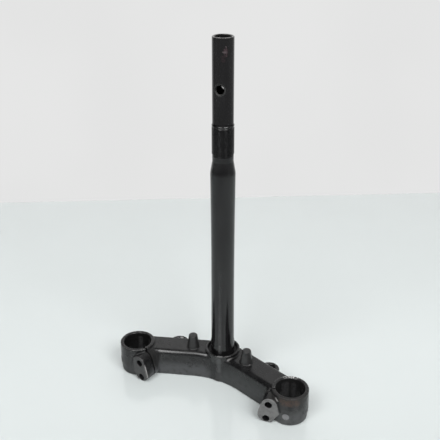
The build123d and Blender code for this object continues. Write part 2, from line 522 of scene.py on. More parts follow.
@dataclass(frozen=True)
class StemPaint:
    """Satin black on a turned tube, worn at its upper rim."""

    name: str = "stem_paint"
    black: Colour = (0.0052, 0.005, 0.0056)
    faded: Colour = (0.012, 0.012, 0.0125)
    rubbed: Colour = (0.17, 0.165, 0.16)
    sheen_low: float = 0.16
    sheen_high: float = 0.22
    turned: float = 0.25
    turned_way: float = 0.25
    cloud_mm: float = 14.0
    cloud_span: Span = (0.38, 0.72)
    sheen_mm: float = 7.0
    chip_mm: float = 2.6
    chip_span: Span = (0.3, 0.6)
    rim_fade_mm: float = 0.6
    grain_mm: float = 1.2
    grain_depth_mm: float = 0.08
    grain_strength: float = 0.2
    drawn: tuple[float, float, float] = (1.0, 1.0, 0.3)
    drawn_sheen: tuple[float, float, float] = (1.0, 1.0, 0.25)

    def make(self, marks: Sequence[Mark], rim: float) -> bpy.types.Material:
        """Build the material.

        Args:
            marks: places where the paint is worn or stained, and painted highlights.
            rim: height above which the upper rim is worn.

        Returns:
            The finished material.
        """
        nodes = FinishNodes(self.name)
        cloud = nodes.remap(nodes.noise(self.cloud_mm, 4.0, self.drawn), *self.cloud_span)
        colour = nodes.mix(cloud, self.black, self.faded)
        top = nodes.remap(nodes.along(UP), rim, rim + self.rim_fade_mm * MM)
        broken = nodes.remap(nodes.noise(self.chip_mm, 4.0), *self.chip_span)
        colour = nodes.mix(nodes.calc(Sum.TIMES, top, broken), colour, self.rubbed)
        gloss = nodes.noise(self.sheen_mm, 4.0, self.drawn_sheen)
        rough = nodes.remap(gloss, *MIDDLE, self.sheen_low, self.sheen_high)
        colour, rough = lay_marks(nodes, marks, colour, rough)
        nodes.feed(nodes.surface.inputs["Base Color"], colour)
        nodes.feed(nodes.surface.inputs["Roughness"], rough)
        nodes.bump(nodes.noise(self.grain_mm, 3.0, self.drawn), self.grain_depth_mm, self.grain_strength)
        around = nodes.nodes.new("ShaderNodeTangent")
        around.direction_type = "RADIAL"
        around.axis = "Z"
        nodes.feed(nodes.surface.inputs["Tangent"], around.outputs["Tangent"])
        nodes.surface.inputs["Anisotropic"].default_value = self.turned
        nodes.surface.inputs["Anisotropic Rotation"].default_value = self.turned_way
        return nodes.material


@dataclass(frozen=True)
class TableWhite:
    """Glossy white table top that faintly mirrors what stands on it."""

    name: str = "table_white"
    colour: Colour = (0.735, 0.785, 0.78)
    # The lip colour is a painted highlight along the rear edge, and the front is darkened as painted shade.
    lip: Colour = (0.98, 0.98, 0.98)
    lip_width: float = 0.004
    lip_fade: float = 0.001
    front_shade: float = 0.66
    front_reach: float = 0.62
    front_lead: float = 0.06
    mirror: float = 1.75
    cloud_mm: float = 260.0
    cloud_dim: float = 0.985
    lip_cloud_mm: float = 180.0
    lip_span: Span = (0.4, 0.55)
    smear_mm: float = 60.0
    gloss_low: float = 0.13
    gloss_high: float = 0.2

    def make(self, outward: Vector, back: float) -> bpy.types.Material:
        """Build the material with a faint cloud in its colour and gloss, a painted highlight along its rear
        lip and painted shade over its front.

        Args:
            outward: the level direction to the rear edge.
            back: distance of the rear edge along it.

        Returns:
            The finished material.
        """
        nodes = FinishNodes(self.name)
        cloud = nodes.remap(nodes.noise(self.cloud_mm, 2.0), *MIDDLE)
        dimmer = tuple(self.cloud_dim * part for part in self.colour)
        # Painted highlight along the rear lip, broken up by a cloud.
        lip = nodes.past(outward, Vector(), back - self.lip_width, self.lip_fade)
        broken = nodes.remap(nodes.noise(self.lip_cloud_mm, 2.0), *self.lip_span)
        worn = nodes.calc(Sum.TIMES, lip, broken)
        colour = nodes.mix(worn, nodes.mix(cloud, dimmer, self.colour), self.lip)
        # Painted shade over the front of the table.
        ahead = nodes.past(-outward, Vector(), self.front_reach, self.front_reach + self.front_lead)
        front = tuple(self.front_shade * part for part in self.colour)
        nodes.feed(nodes.surface.inputs["Base Color"], nodes.mix(ahead, colour, front))
        nodes.surface.inputs["IOR"].default_value = self.mirror
        smear = nodes.remap(nodes.noise(self.smear_mm, 3.0), *MIDDLE, self.gloss_low, self.gloss_high)
        nodes.feed(nodes.surface.inputs["Roughness"], smear)
        return nodes.material


@dataclass(frozen=True)
class WallWhite:
    """Evenly pale wall, which shows its own colour to the camera and in mirrored surfaces."""

    name: str = "wall_white"
    colour: Colour = (0.79, 0.792, 0.79)
    rough: float = 0.8
    cloud_mm: float = 420.0
    cloud_dim: float = 0.975

    def make(self) -> bpy.types.Material:
        """Build the material with a faint cloud in its colour.

        Returns:
            The finished material.
        """
        nodes = FinishNodes(self.name)
        cloud = nodes.remap(nodes.noise(self.cloud_mm, 2.0), *MIDDLE)
        dimmer = tuple(self.cloud_dim * part for part in self.colour)
        colour = nodes.mix(cloud, dimmer, self.colour)
        nodes.feed(nodes.surface.inputs["Base Color"], colour)
        nodes.surface.inputs["Roughness"].default_value = self.rough
        glow = nodes.nodes.new("ShaderNodeEmission")
        nodes.feed(glow.inputs["Color"], colour)
        blend = nodes.nodes.new("ShaderNodeMixShader")
        nodes.feed(blend.inputs["Fac"], nodes.seen())
        nodes.feed(blend.inputs[1], nodes.surface.outputs["BSDF"])
        nodes.feed(blend.inputs[2], glow.outputs["Emission"])
        nodes.feed(nodes.nodes["Material Output"].inputs["Surface"], blend.outputs["Shader"])
        return nodes.material


@dataclass
class Yoke:
    """The forged yoke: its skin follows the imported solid, with every crease softened as a forging's is."""

    WEAR: ClassVar[str] = "edge_wear"
    CREASE: ClassVar[str] = "crease_grime"

    node: str = "lower_yoke"
    weld_mm: float = 0.002
    voxel_mm: float = 0.75
    smooth_share: float = 0.5
    smooth_turns: int = 2
    kept_faces: float = 0.66
    wear_full: float = 0.16
    crease_full: float = 0.2
    wear_blur: int = 2
    arm_top_mm: float = 37.0
    stop_place_mm: tuple[float, float] = (37.8, -9.3)
    stop_reach_mm: float = 10.5
    stop_top_mm: float = 55.0
    stop_lift_mm: float = 2.0
    stop_crown_mm: float = 1.4
    stop_foot_fill: float = 0.11
    stop_fill: float = 0.03
    stop_crown_fill: float = 0.2
    ring_mm: float = 22.3
    bore_mm: float = 17.5
    ring_top_mm: float = 40.4
    ear_turn: float = 10.0
    ear_reach_mm: float = 21.8
    ear_skim_mm: float = 0.25

    def build(self) -> bpy.types.Object:
        """Model the skin.

        Returns:
            The finished piece.
        """
        mesh = bpy.data.meshes.new_from_object(frame["nodes"][self.node])
        piece = bpy.data.objects.new("yoke_forging", mesh)
        bpy.context.scene.collection.objects.link(piece)
        mend_mesh(piece, self.weld_mm)
        apply_modifier(piece, "REMESH", mode="VOXEL", voxel_size=self.voxel_mm * MM)
        apply_modifier(piece, "SMOOTH", factor=self.smooth_share, iterations=self.smooth_turns)
        self._fill_stops(piece.data)
        self._mark_edges(piece.data)
        apply_modifier(piece, "DECIMATE", ratio=self.kept_faces)
        bpy.ops.object.shade_smooth()
        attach(piece, BODY)
        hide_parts(self.node)
        return piece

    def _fill_stops(self, mesh: bpy.types.Mesh) -> None:
        """Fill the steering stops' feet and square their tops, which the skin has rounded off.

        Args:
            mesh: the skin's mesh.
        """
        places = read_points(mesh, "co")
        height = places[:, 2] / MM - self.arm_top_mm
        lift = np.clip(height / self.stop_lift_mm, 0.0, 1.0)
        tall = self.stop_top_mm - self.arm_top_mm
        below = 1.0 - np.clip(height / tall, 0.0, 1.0)
        crown = np.clip((height - tall) / self.stop_crown_mm + 1.0, 0.0, 1.0)
        grow = lift * (self.stop_foot_fill * below + self.stop_fill) + self.stop_crown_fill * crown
        for side in Side:
            axis = np.array((side.value * self.stop_place_mm[0], self.stop_place_mm[1])) * MM
            out = places[:, :2] - axis
            near = np.hypot(*out.T) < self.stop_reach_mm * MM
            places[near, :2] += out[near] * grow[near, None]
        mesh.vertices.foreach_set("co", places.ravel())
        mesh.update()

    def _mark_edges(self, mesh: bpy.types.Mesh) -> None:
        """Store at each point how sharply the surface turns outwards, for the rubbed edges, and inwards, for
        the painted shade in the creases.

        Args:
            mesh: the skin's mesh.
        """
        count = len(mesh.vertices)
        places = read_points(mesh, "co")
        normals = read_points(mesh, "normal")
        ends = np.empty(len(mesh.edges) * 2, dtype=np.int64)
        mesh.edges.foreach_get("vertices", ends)
        first, second = ends.reshape(-1, 2).T
        degree = np.bincount(ends, minlength=count)

        def spread(values: np.ndarray) -> np.ndarray:
            """Return the mean of each point's neighbours."""
            total = np.bincount(first, values[second], count) + np.bincount(second, values[first], count)
            return total / degree

        pull = np.stack([spread(places[:, axis]) for axis in range(3)], axis=1) - places
        turn = -np.einsum("ij,ij->i", pull, normals) / (self.voxel_mm * MM)
        for _ in range(self.wear_blur):
            turn = (turn + spread(turn)) / 2
        for name, share in ((self.WEAR, turn / self.wear_full), (self.CREASE, -turn / self.crease_full)):
            values = np.clip(share, 0.0, 1.0).astype(np.float32)
            mesh.attributes.new(name, "FLOAT", "POINT").data.foreach_set("value", values)

    def _fork(self, side: Side) -> Vector:
        """Return the foot of one fork axis."""
        x, y, _ = mount(f"fork_clamp_{side.name.lower()}")["pos_m"]
        return Vector((x, y, 0.0))

    def _ahead(self, side: Side) -> Vector:
        """Return the way that one ear's spot face looks."""
        turn = radians(self.ear_turn)
        return Vector((side.value * sin(turn), -cos(turn), 0.0))

    def _inboard(self, side: Side) -> Vector:
        """Return the level direction along one ear's spot face, towards the stem."""
        turn = radians(self.ear_turn)
        return Vector((-side.value * cos(turn), -sin(turn), 0.0))

    def _on_ring(self, side: Side, angle: float, height_mm: float) -> Vector:
        """Return the place on a ring's outside at an angle from straight ahead towards +X.

        Args:
            side: which ring.
            angle: degrees from straight ahead.
            height_mm: height above the underside.

        Returns:
            The place.
        """
        turn = radians(angle)
        out = Vector((sin(turn), -cos(turn), 0.0)) * self.ring_mm * MM
        return self._fork(side) + out + rise_mm(height_mm)

    def _on_ear(self, side: Side, inboard_mm: float, height_mm: float) -> Vector:
        """Return the place on an ear's spot face.

        Args:
            side: which ear.
            inboard_mm: distance from the fork axis towards the stem.
            height_mm: height above the underside.

        Returns:
            The place.
        """
        level = self._ahead(side) * self.ear_reach_mm + self._inboard(side) * inboard_mm
        return self._fork(side) + level * MM + rise_mm(height_mm)

    def _haze(self) -> list[Mark]:
        """Place the dust on the steering stops and round the foot of both rings.

        Returns:
            The marks, in the order in which they lie on the paint.
        """
        marks = []
        for side in Side:
            x, y = self.stop_place_mm
            foot = at_mm(side.value * x, y, self.arm_top_mm + 4.0)
            marks.append(
                Mark(
                    foot, foot + rise_mm(12.0), reach_mm=8.0, fade_mm=2.0,
                    colour=(0.03, 0.03, 0.03), share=0.7, grain_mm=5.0, breaks=(0.2, 0.5), rough=0.4,
                )
            )
        right, left = self._fork(Side.RIGHT), self._fork(Side.LEFT)
        return marks + [
            Mark(
                right + rise_mm(1.0), right + rise_mm(13.0), reach_mm=22.6, fade_mm=3.0,
                colour=(0.07, 0.072, 0.073), share=0.8, grain_mm=11.0, breaks=(0.25, 0.6),
            ),
            Mark(
                left + rise_mm(2.0), left + rise_mm(12.0), reach_mm=22.6, fade_mm=7.0,
                colour=(0.025, 0.025, 0.026), share=0.8, grain_mm=9.0, breaks=(0.25, 0.6),
            ),
        ]

    def _arm_marks(self) -> list[Mark]:
        """Place the paler lower fronts and top of the arms, a painted highlight along the left arm's
        top-front edge, painted shade between the left ear and the arm, and a pale streak on the left arm's
        front.

        Returns:
            The marks, in the order in which they lie on the paint.
        """
        return [
            Mark(
                at_mm(-84.0, -44.0, 6.0), at_mm(-22.0, -23.0, 6.0), reach_mm=8.0, fade_mm=10.0,
                colour=(0.055, 0.057, 0.06), share=0.9, grain_mm=7.0, breaks=(0.2, 0.5), rough=0.5,
            ),
            Mark(
                at_mm(20.0, -24.0, 8.0), at_mm(84.0, -44.0, 8.0), reach_mm=10.0, fade_mm=12.0,
                colour=(0.034, 0.036, 0.037), share=0.8, grain_mm=9.0, breaks=(0.2, 0.6), rough=0.5,
            ),
            # Painted highlight along the left arm's top-front edge.
            Mark(
                at_mm(-73.0, -37.0, 36.1), at_mm(-15.0, -19.0, 36.1), reach_mm=1.9, fade_mm=1.3,
                colour=(0.15, 0.15, 0.15), share=0.75, grain_mm=3.0, breaks=(0.2, 0.5), rough=0.24,
            ),
            # Painted shade in the dark corner between the left ear and the arm.
            Mark(
                at_mm(-82.0, -41.5, 34.0), at_mm(-80.5, -45.5, 14.0), reach_mm=4.5, fade_mm=2.5,
                colour=PAINTED_SHADE, share=0.95, grain_mm=4.0, breaks=(0.1, 0.4), rough=0.85,
            ),
            # Painted shade down the left arm's end beside the ear.
            Mark(
                at_mm(-75.5, -39.0, 32.0), at_mm(-77.0, -41.5, 13.0), reach_mm=2.6, fade_mm=3.0,
                colour=PAINTED_SHADE, share=0.9, grain_mm=4.0, breaks=(0.1, 0.4), rough=0.85,
            ),
            Mark(
                at_mm(-66.0, -38.5, 18.0), at_mm(-66.3, -39.0, 8.0), reach_mm=0.6, fade_mm=0.9,
                colour=(0.11, 0.11, 0.112), share=0.6, breaks=(0.2, 0.4), rough=0.5,
            ),
            Mark(
                at_mm(-84.0, -24.0, 37.0), at_mm(-26.0, -6.0, 37.0), reach_mm=9.0, fade_mm=6.0,
                colour=(0.02, 0.02, 0.02), share=0.8, grain_mm=6.0, breaks=(0.25, 0.6), rough=0.34,
            ),
        ]

    def _boss_marks(self) -> list[Mark]:
        """Place painted shade round the stem's foot and painted highlights on the boss's rim and front.

        Returns:
            The marks, in the order in which they lie on the paint.
        """
        return [
            # Painted shade in the pocket round the stem's foot.
            Mark(
                rise_mm(38.0), rise_mm(46.0), reach_mm=19.2, fade_mm=1.2,
                colour=(0.004, 0.004, 0.004), share=0.9, grain_mm=4.0, breaks=(0.2, 0.45),
            ),
            # Painted highlight on the left of the boss's rim.
            Mark(
                at_mm(-16.5, -12.5, 41.6), at_mm(-12.5, -16.5, 41.6), reach_mm=1.0, fade_mm=1.4,
                colour=(0.045, 0.045, 0.046), share=0.8, grain_mm=3.0, breaks=(0.1, 0.4), rough=0.4,
            ),
            # Painted highlight on the front of the boss's rim.
            Mark(
                at_mm(4.3, -20.6, 41.6), at_mm(8.2, -19.4, 41.6), reach_mm=0.7, fade_mm=1.0,
                colour=(0.11, 0.11, 0.11), share=0.8, breaks=(0.1, 0.4), rough=0.4,
            ),
            # Painted highlight down the front of the boss.
            Mark(
                at_mm(4.4, -20.0, 36.5), at_mm(4.4, -20.6, 18.0), reach_mm=1.4, fade_mm=3.0,
                colour=(0.05, 0.052, 0.053), share=0.8, grain_mm=5.0, breaks=(0.1, 0.5), rough=0.4,
            ),
        ]

    def _bores(self) -> list[Mark]:
        """Place the smooth inside of both fork bores, with pale streaks down it that are painted reflections.

        Returns:
            The marks, in the order in which they lie on the paint.
        """
        marks = []
        for side, dark, streaks in (
            (Side.LEFT, 0.009, (200.0, 150.0)),
            (Side.RIGHT, 0.014, (186.0, 215.0, 228.0)),
        ):
            foot = self._fork(side)
            marks.append(
                Mark(
                    foot, foot + rise_mm(self.ring_top_mm - 0.3), reach_mm=self.bore_mm, fade_mm=0.9,
                    colour=(dark, dark, dark), grain_mm=10.0, breaks=(0.0, 0.01), rough=0.18,
                )
            )
            # Each pale streak down a bore's wall is a painted reflection.
            for angle in streaks:
                wall = foot + (self._on_ring(side, angle, 0.0) - foot) * self.bore_mm / self.ring_mm
                marks.append(
                    Mark(
                        wall + rise_mm(2.0), wall + rise_mm(32.0), reach_mm=1.0, fade_mm=3.0,
                        colour=(0.05, 0.05, 0.051), share=0.6, grain_mm=3.0, breaks=(0.2, 0.6), rough=0.25,
                    )
                )
        return marks

    def _clamp_wear_and_painted_light(self) -> list[Mark]:
        """Place the dark rim, rust, pad and chips of the right ring, painted shade along its slot and ear
        joint with a painted highlight beside it, and the ears' rubbed edges with painted highlights.

        Returns:
            The marks, in the order in which they lie on the paint.
        """
        right, left = Side.RIGHT, Side.LEFT
        rim = self.ring_top_mm
        return [
            Mark(
                self._on_ring(right, -35.0, rim), self._on_ring(right, 65.0, rim), reach_mm=8.5, fade_mm=3.0,
                colour=(0.012, 0.011, 0.0105), share=0.85, grain_mm=4.0, breaks=(0.2, 0.5), rough=0.55,
            ),
            Mark(
                self._on_ring(right, -4.0, 34.4), self._on_ring(right, 40.0, 34.4), reach_mm=2.2, fade_mm=4.4,
                colour=(0.052, 0.03, 0.021), share=0.9, grain_mm=2.6, breaks=(0.32, 0.6),
            ),
            Mark(
                self._on_ring(right, 9.5, 13.6), self._on_ring(right, 9.5, 14.2), reach_mm=3.6, fade_mm=1.0,
                colour=(0.2, 0.2, 0.205), share=0.95, grain_mm=3.0, breaks=(0.2, 0.35),
            ),
            # Painted shade in the joint between the right ear and its ring.
            Mark(
                self._on_ring(right, -16.0, 31.0), self._on_ring(right, -8.0, 19.0), reach_mm=0.9,
                fade_mm=0.8, colour=PAINTED_SHADE, share=0.95, grain_mm=3.0, breaks=(0.0, 0.3),
            ),
            # Bare metal dash with a painted highlight, beside the right ear's joint with the ring.
            Mark(
                self._on_ring(right, -28.0, 35.6), self._on_ring(right, -20.0, 33.0), reach_mm=0.7,
                fade_mm=0.5, colour=BARE_AND_HIGHLIGHT,
            ),
            # Painted shade in the right clamp's slot, where the arm meets the ring.
            Mark(
                at_mm(83.6, -33.6, 30.0), at_mm(84.2, -34.4, 41.0), reach_mm=1.3, fade_mm=0.9,
                colour=PAINTED_SHADE, share=0.95, grain_mm=3.0, breaks=(0.0, 0.3),
            ),
            Mark(
                self._on_ring(right, 176.0, rim), self._on_ring(right, 222.0, rim), reach_mm=2.2, fade_mm=1.2,
                colour=(0.6, 0.6, 0.59), share=0.9, grain_mm=1.6, breaks=(0.47, 0.55),
            ),
            # The ears' rubbed inboard edges, each carrying a painted highlight.
            Mark(
                self._on_ear(left, 30.6, 25.0), self._on_ear(left, 34.2, 9.0), reach_mm=1.1, fade_mm=0.9,
                colour=BARE_AND_HIGHLIGHT, share=0.8,
            ),
            Mark(
                self._on_ear(right, 30.4, 26.0), self._on_ear(right, 34.4, 10.0), reach_mm=0.5, fade_mm=0.7,
                colour=BARE_AND_HIGHLIGHT, share=0.7,
            ),
        ]

    def _edge_highlights(self) -> list[Mark]:
        """Place painted highlights on the edges of the boss, the guide loops and the right stop's foot.

        Returns:
            The marks, in the order in which they lie on the paint.
        """
        return [
            Mark(
                at_mm(15.6, -16.6, 36.8), at_mm(17.9, -9.0, 37.0), reach_mm=0.9, fade_mm=1.0,
                colour=BARE_AND_HIGHLIGHT, share=0.5, rough=0.4,
            ),
            Mark(at_mm(58.0, 13.0, 30.0), at_mm(70.0, 15.0, 30.0), 0.8, 1.0, BARE_AND_HIGHLIGHT, share=0.7),
            Mark(at_mm(-76.0, 7.0, 30.0), at_mm(-74.4, 7.6, 30.0), 0.9, 0.9, BARE_AND_HIGHLIGHT, share=0.8),
            Mark(at_mm(-66.4, 9.5, 30.0), at_mm(-64.6, 9.8, 30.0), 0.9, 0.9, BARE_AND_HIGHLIGHT, share=0.7),
            Mark(at_mm(40.8, -14.6, 37.3), at_mm(43.8, -13.4, 37.3), 0.7, 0.8, BARE_AND_HIGHLIGHT, share=0.75),
        ]

    def _spot_faces(self) -> list[SpotFace]:
        """Place the machined fronts of both ears, with the right one painted paler and the left darker as
        painted light and shade.

        Returns:
            The marks, in the order in which they lie on the paint.
        """
        faces = []
        # The right face's paler grey and the left face's darker grey are painted light and shade over their
        # bare metal.
        for side, inboard_mm, colour, share in (
            (Side.RIGHT, 8.6, (0.165, 0.165, 0.163), 0.95),
            (Side.LEFT, 13.0, (0.06, 0.06, 0.06), 0.9),
        ):
            faces.append(
                SpotFace(
                    self._fork(side), self._ahead(side), self._inboard(side),
                    self.ear_reach_mm - self.ear_skim_mm, inboard_mm, colour, share,
                )
            )
        return faces

    def dress(self, piece: bpy.types.Object) -> None:
        """Paint the skin.

        Args:
            piece: the piece from build.
        """
        marks = self._haze() + self._arm_marks() + self._boss_marks() + self._bores()
        marks += self._clamp_wear_and_painted_light() + self._edge_highlights() + self._spot_faces()
        piece.data.materials.clear()
        piece.data.materials.append(YokePaint().make(marks))


@dataclass
class Stem:
    """The drawn steering stem: a waisted tube, a shoulder, a fine thread and a plain upper end."""

    node: str = "steering_stem"
    sides: int = 96
    weld_mm: float = 0.005
    sharp_angle: float = 32.0
    foot_lead_mm: float = 1.0
    press_mm: float = 15.2
    press_top_mm: float = 38.0
    seat_mm: float = 14.9
    seat_top_mm: float = 54.0
    seat_ease_mm: float = 2.5
    tube_foot_mm: float = 14.45
    tube_waist_mm: float = 14.0
    tube_top_mm: float = 14.55
    shoulder_foot_mm: float = 283.4
    shoulder_top_mm: float = 297.4
    shoulder_ease_mm: float = 2.6
    neck_mm: float = 12.2
    neck_top_mm: float = 304.2
    neck_edge_mm: float = 0.4
    thread_core_mm: float = 12.0
    thread_sink_mm: float = 0.2
    thread_crest_mm: float = 12.7
    thread_foot_mm: float = 304.8
    thread_top_mm: float = 338.8
    thread_lead_mm: float = 0.42
    thread_runout: float = 3.4
    thread_pitch_mm: float = 1.27
    thread_start: float = 0.8
    thread_weld_mm: float = 0.001
    ridge_foot: float = 0.49
    ridge_crest: float = 0.07
    upper_foot_mm: float = 342.5
    upper_mm: float = 11.95
    top_mm: float = 436.0
    rim_lead_mm: float = 0.8
    upper_bore_mm: float = 9.25
    foot_bore_mm: float = 11.2
    hole_mm: float = 5.0
    hole_sink_mm: float = 1.4
    hole_overshoot: float = 3.0
    hole_sides: int = 64
    hole_height_mm: float = 381.0
    hole_turn: float = 7.0
    streak_turn: float = 12.0
    streak_foot_mm: float = 44.0
    streak_first_mm: float = 75.0
    streak_step_mm: float = 20.0
    streak_count: int = 6

    def _outline(self) -> list[Ring]:
        """Lay out the section, up the outside and down the bore.

        Returns:
            Radius and height of each ring in millimetres.
        """
        rings = [
            (self.press_mm - self.foot_lead_mm, 0.0),
            (self.press_mm, self.foot_lead_mm),
            (self.press_mm, self.press_top_mm),
            (self.seat_mm, self.press_top_mm),
            (self.seat_mm, self.seat_top_mm),
        ]
        rings += self._waist(self.seat_top_mm + self.seat_ease_mm)
        rings += self._shoulder()
        rings += [
            (self.neck_mm, self.shoulder_top_mm),
            (self.neck_mm, self.shoulder_top_mm + self.neck_edge_mm),
            (self.neck_mm, self.neck_top_mm - self.neck_edge_mm),
            (self.neck_mm, self.neck_top_mm),
            (self.thread_core_mm, self.thread_foot_mm),
            (self.thread_core_mm, self.thread_top_mm),
            (self.thread_crest_mm, self.thread_top_mm + self.thread_lead_mm),
            (self.thread_crest_mm, self.thread_top_mm + 2 * self.thread_lead_mm),
            (
                self.thread_crest_mm - self.thread_lead_mm,
                self.thread_top_mm + self.thread_runout * self.thread_lead_mm,
            ),
            (self.upper_mm, self.upper_foot_mm),
            (self.upper_mm, self.top_mm - self.rim_lead_mm),
            (self.upper_mm - self.rim_lead_mm, self.top_mm),
            (self.upper_bore_mm + self.rim_lead_mm, self.top_mm),
            (self.upper_bore_mm, self.top_mm - self.rim_lead_mm),
            (self.upper_bore_mm, self.shoulder_top_mm),
            (self.foot_bore_mm, self.shoulder_foot_mm),
            (self.foot_bore_mm, 0.0),
        ]
        return rings

    def _waist(self, foot_mm: float, steps: int = 24) -> list[Ring]:
        """Return the tube's slack curve from above the bearing seat to below the shoulder.

        Args:
            foot_mm: height where the tube starts.
            steps: number of stretches.

        Returns:
            Radius and height of each ring.
        """
        top_mm = self.shoulder_foot_mm - self.shoulder_ease_mm
        rings = []
        for step in range(steps + 1):
            share = step / steps
            straight = self.tube_foot_mm + (self.tube_top_mm - self.tube_foot_mm) * share
            sag = (self.tube_foot_mm + self.tube_top_mm) / 2 - self.tube_waist_mm
            rings.append((straight - 4 * sag * share * (1 - share), foot_mm + (top_mm - foot_mm) * share))
        return rings

    def _shoulder(self, steps: int = 6) -> list[Ring]:
        """Return the eased turn from the tube into the cone of the shoulder.

        Args:
            steps: number of stretches.

        Returns:
            Radius and height of each ring.
        """
        run_mm = self.shoulder_top_mm - self.shoulder_foot_mm
        slope = (self.tube_top_mm - self.neck_mm) / run_mm
        rings = []
        for step in range(1, steps + 1):
            share = step / steps
            past_mm = (2 * share - 1) * self.shoulder_ease_mm
            drop_mm = slope * self.shoulder_ease_mm * share * share
            rings.append((self.tube_top_mm - drop_mm, self.shoulder_foot_mm + past_mm))
        return rings

    def build(self) -> bpy.types.Object:
        """Model the stem with its thread and cross hole.

        Returns:
            The finished piece.
        """
        piece = self._turn()
        self._drill(piece)
        thread = self._thread()
        start_clean()
        thread.select_set(True)
        piece.select_set(True)
        bpy.context.view_layer.objects.active = piece
        bpy.ops.object.join()
        bpy.ops.object.shade_smooth_by_angle(angle=radians(self.sharp_angle))
        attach(piece, BODY)
        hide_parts(self.node)
        return piece

    def _turn(self) -> bpy.types.Object:
        """Extrude a ring up the outside of the tube and down its bore.

        Returns:
            The closed tube.
        """
        rings = self._outline()
        start_clean()
        bpy.ops.mesh.primitive_circle_add(vertices=self.sides, radius=rings[0][0] * MM)
        piece = bpy.context.active_object
        piece.name = "steering_stem_tube"
        bpy.ops.object.mode_set(mode="EDIT")
        bpy.ops.mesh.select_all(action="SELECT")
        for (radius, height), (next_radius, next_height) in zip(rings, rings[1:] + rings[:1]):
            rise = (next_height - height) * MM
            bpy.ops.mesh.extrude_edges_move(TRANSFORM_OT_translate={"value": (0.0, 0.0, rise)})
            grow = next_radius / radius
            bpy.ops.transform.resize(value=(grow, grow, 1.0), center_override=(0.0, 0.0, next_height * MM))
        bpy.ops.object.mode_set(mode="OBJECT")
        mend_mesh(piece, self.weld_mm)
        return piece

    def _drill(self, piece: bpy.types.Object) -> None:
        """Cut the cross hole with a countersink at both mouths.

        Args:
            piece: the tube.
        """
        sink_depth = self.hole_sink_mm * MM
        radius = self.hole_mm * MM
        neck = self.upper_mm * MM - sink_depth
        rise = self.hole_overshoot * sink_depth
        grow = (radius + rise) / radius
        start_clean()
        bpy.ops.mesh.primitive_cylinder_add(
            vertices=self.hole_sides, radius=radius, depth=2 * neck, end_fill_type="NGON"
        )
        cutter = bpy.context.active_object
        bpy.ops.object.mode_set(mode="EDIT")
        for end in (1, -1):
            bpy.ops.mesh.select_mode(type="FACE")
            bpy.ops.mesh.select_all(action="DESELECT")
            bpy.ops.object.mode_set(mode="OBJECT")
            for face in cutter.data.polygons:
                face.select = face.normal.z * end > 0.9
            bpy.ops.object.mode_set(mode="EDIT")
            bpy.ops.mesh.extrude_region_move(TRANSFORM_OT_translate={"value": (0.0, 0.0, end * rise)})
            centre = (0.0, 0.0, end * (neck + rise))
            bpy.ops.transform.resize(value=(grow, grow, 1.0), center_override=centre)
        bpy.ops.mesh.select_all(action="SELECT")
        bpy.ops.mesh.normals_make_consistent(inside=False)
        bpy.ops.object.mode_set(mode="OBJECT")
        cutter.rotation_euler = (pi / 2, 0.0, radians(self.hole_turn))
        cutter.location = (0.0, 0.0, self.hole_height_mm * MM)
        pick(cutter)
        bpy.ops.object.transform_apply(location=True, rotation=True, scale=True)
        apply_modifier(piece, "BOOLEAN", operation="DIFFERENCE", solver="EXACT", object=cutter)
        bpy.data.objects.remove(cutter)

    def _thread(self) -> bpy.types.Object:
        """Wind the ridge of the fine thread round its core.

        Returns:
            The ridge as a closed coil that fades out at both ends.
        """
        pitch = self.thread_pitch_mm * MM
        turns = int((self.thread_top_mm - self.thread_foot_mm) / self.thread_pitch_mm) - 1
        root = (self.thread_core_mm - self.thread_sink_mm) * MM
        crest = self.thread_crest_mm * MM
        section = [
            (root, -self.ridge_foot),
            (crest, -self.ridge_crest),
            (crest, self.ridge_crest),
            (root, self.ridge_foot),
        ]
        start_clean()
        bpy.ops.mesh.primitive_plane_add(size=1.0)
        coil = bpy.context.active_object
        corners = [coil.data.vertices[index] for index in coil.data.polygons[0].vertices]
        for corner, (radius, share) in zip(corners, section):
            corner.co = (radius, 0.0, self.thread_foot_mm * MM + (share + self.thread_start) * pitch)
        bpy.ops.object.mode_set(mode="EDIT")
        bpy.ops.mesh.select_all(action="SELECT")
        bpy.ops.mesh.delete(type="ONLY_FACE")
        bpy.ops.object.mode_set(mode="OBJECT")
        apply_modifier(
            coil, "SCREW", axis="Z", angle=tau, screw_offset=pitch, iterations=turns,
            steps=self.sides // 2, render_steps=self.sides // 2, use_smooth_shade=False,
        )
        self._fade_ends(coil.data)
        bpy.ops.object.mode_set(mode="EDIT")
        bpy.ops.mesh.select_all(action="DESELECT")
        bpy.ops.mesh.select_mode(type="EDGE")
        bpy.ops.mesh.select_non_manifold()
        bpy.ops.mesh.fill()
        bpy.ops.object.mode_set(mode="OBJECT")
        mend_mesh(coil, self.thread_weld_mm)
        return coil

    def _fade_ends(self, mesh: bpy.types.Mesh) -> None:
        """Let the ridge sink into its core over the first and last turn.

        Args:
            mesh: the coil's mesh.
        """
        core = (self.thread_core_mm - self.thread_sink_mm) * MM
        foot = min(point.co.z for point in mesh.vertices)
        top = max(point.co.z for point in mesh.vertices)
        fade = self.thread_pitch_mm * MM
        for point in mesh.vertices:
            radius = sqrt(point.co.x ** 2 + point.co.y ** 2)
            share = min(1.0, (point.co.z - foot) / fade, (top - point.co.z) / fade)
            wanted = core + (radius - core) * max(share, 0.0)
            point.co.x *= wanted / radius
            point.co.y *= wanted / radius

    def _on_stem(self, angle: float, height_mm: float) -> Vector:
        """Return the place on the stem's outside at an angle from straight ahead towards +X.

        Args:
            angle: degrees from straight ahead.
            height_mm: height above the underside.

        Returns:
            The place.
        """
        turn = radians(angle)
        radius_mm = self.upper_mm if height_mm > self.shoulder_top_mm else self.tube_foot_mm
        return Vector((sin(turn) * radius_mm, -cos(turn) * radius_mm, height_mm)) * MM

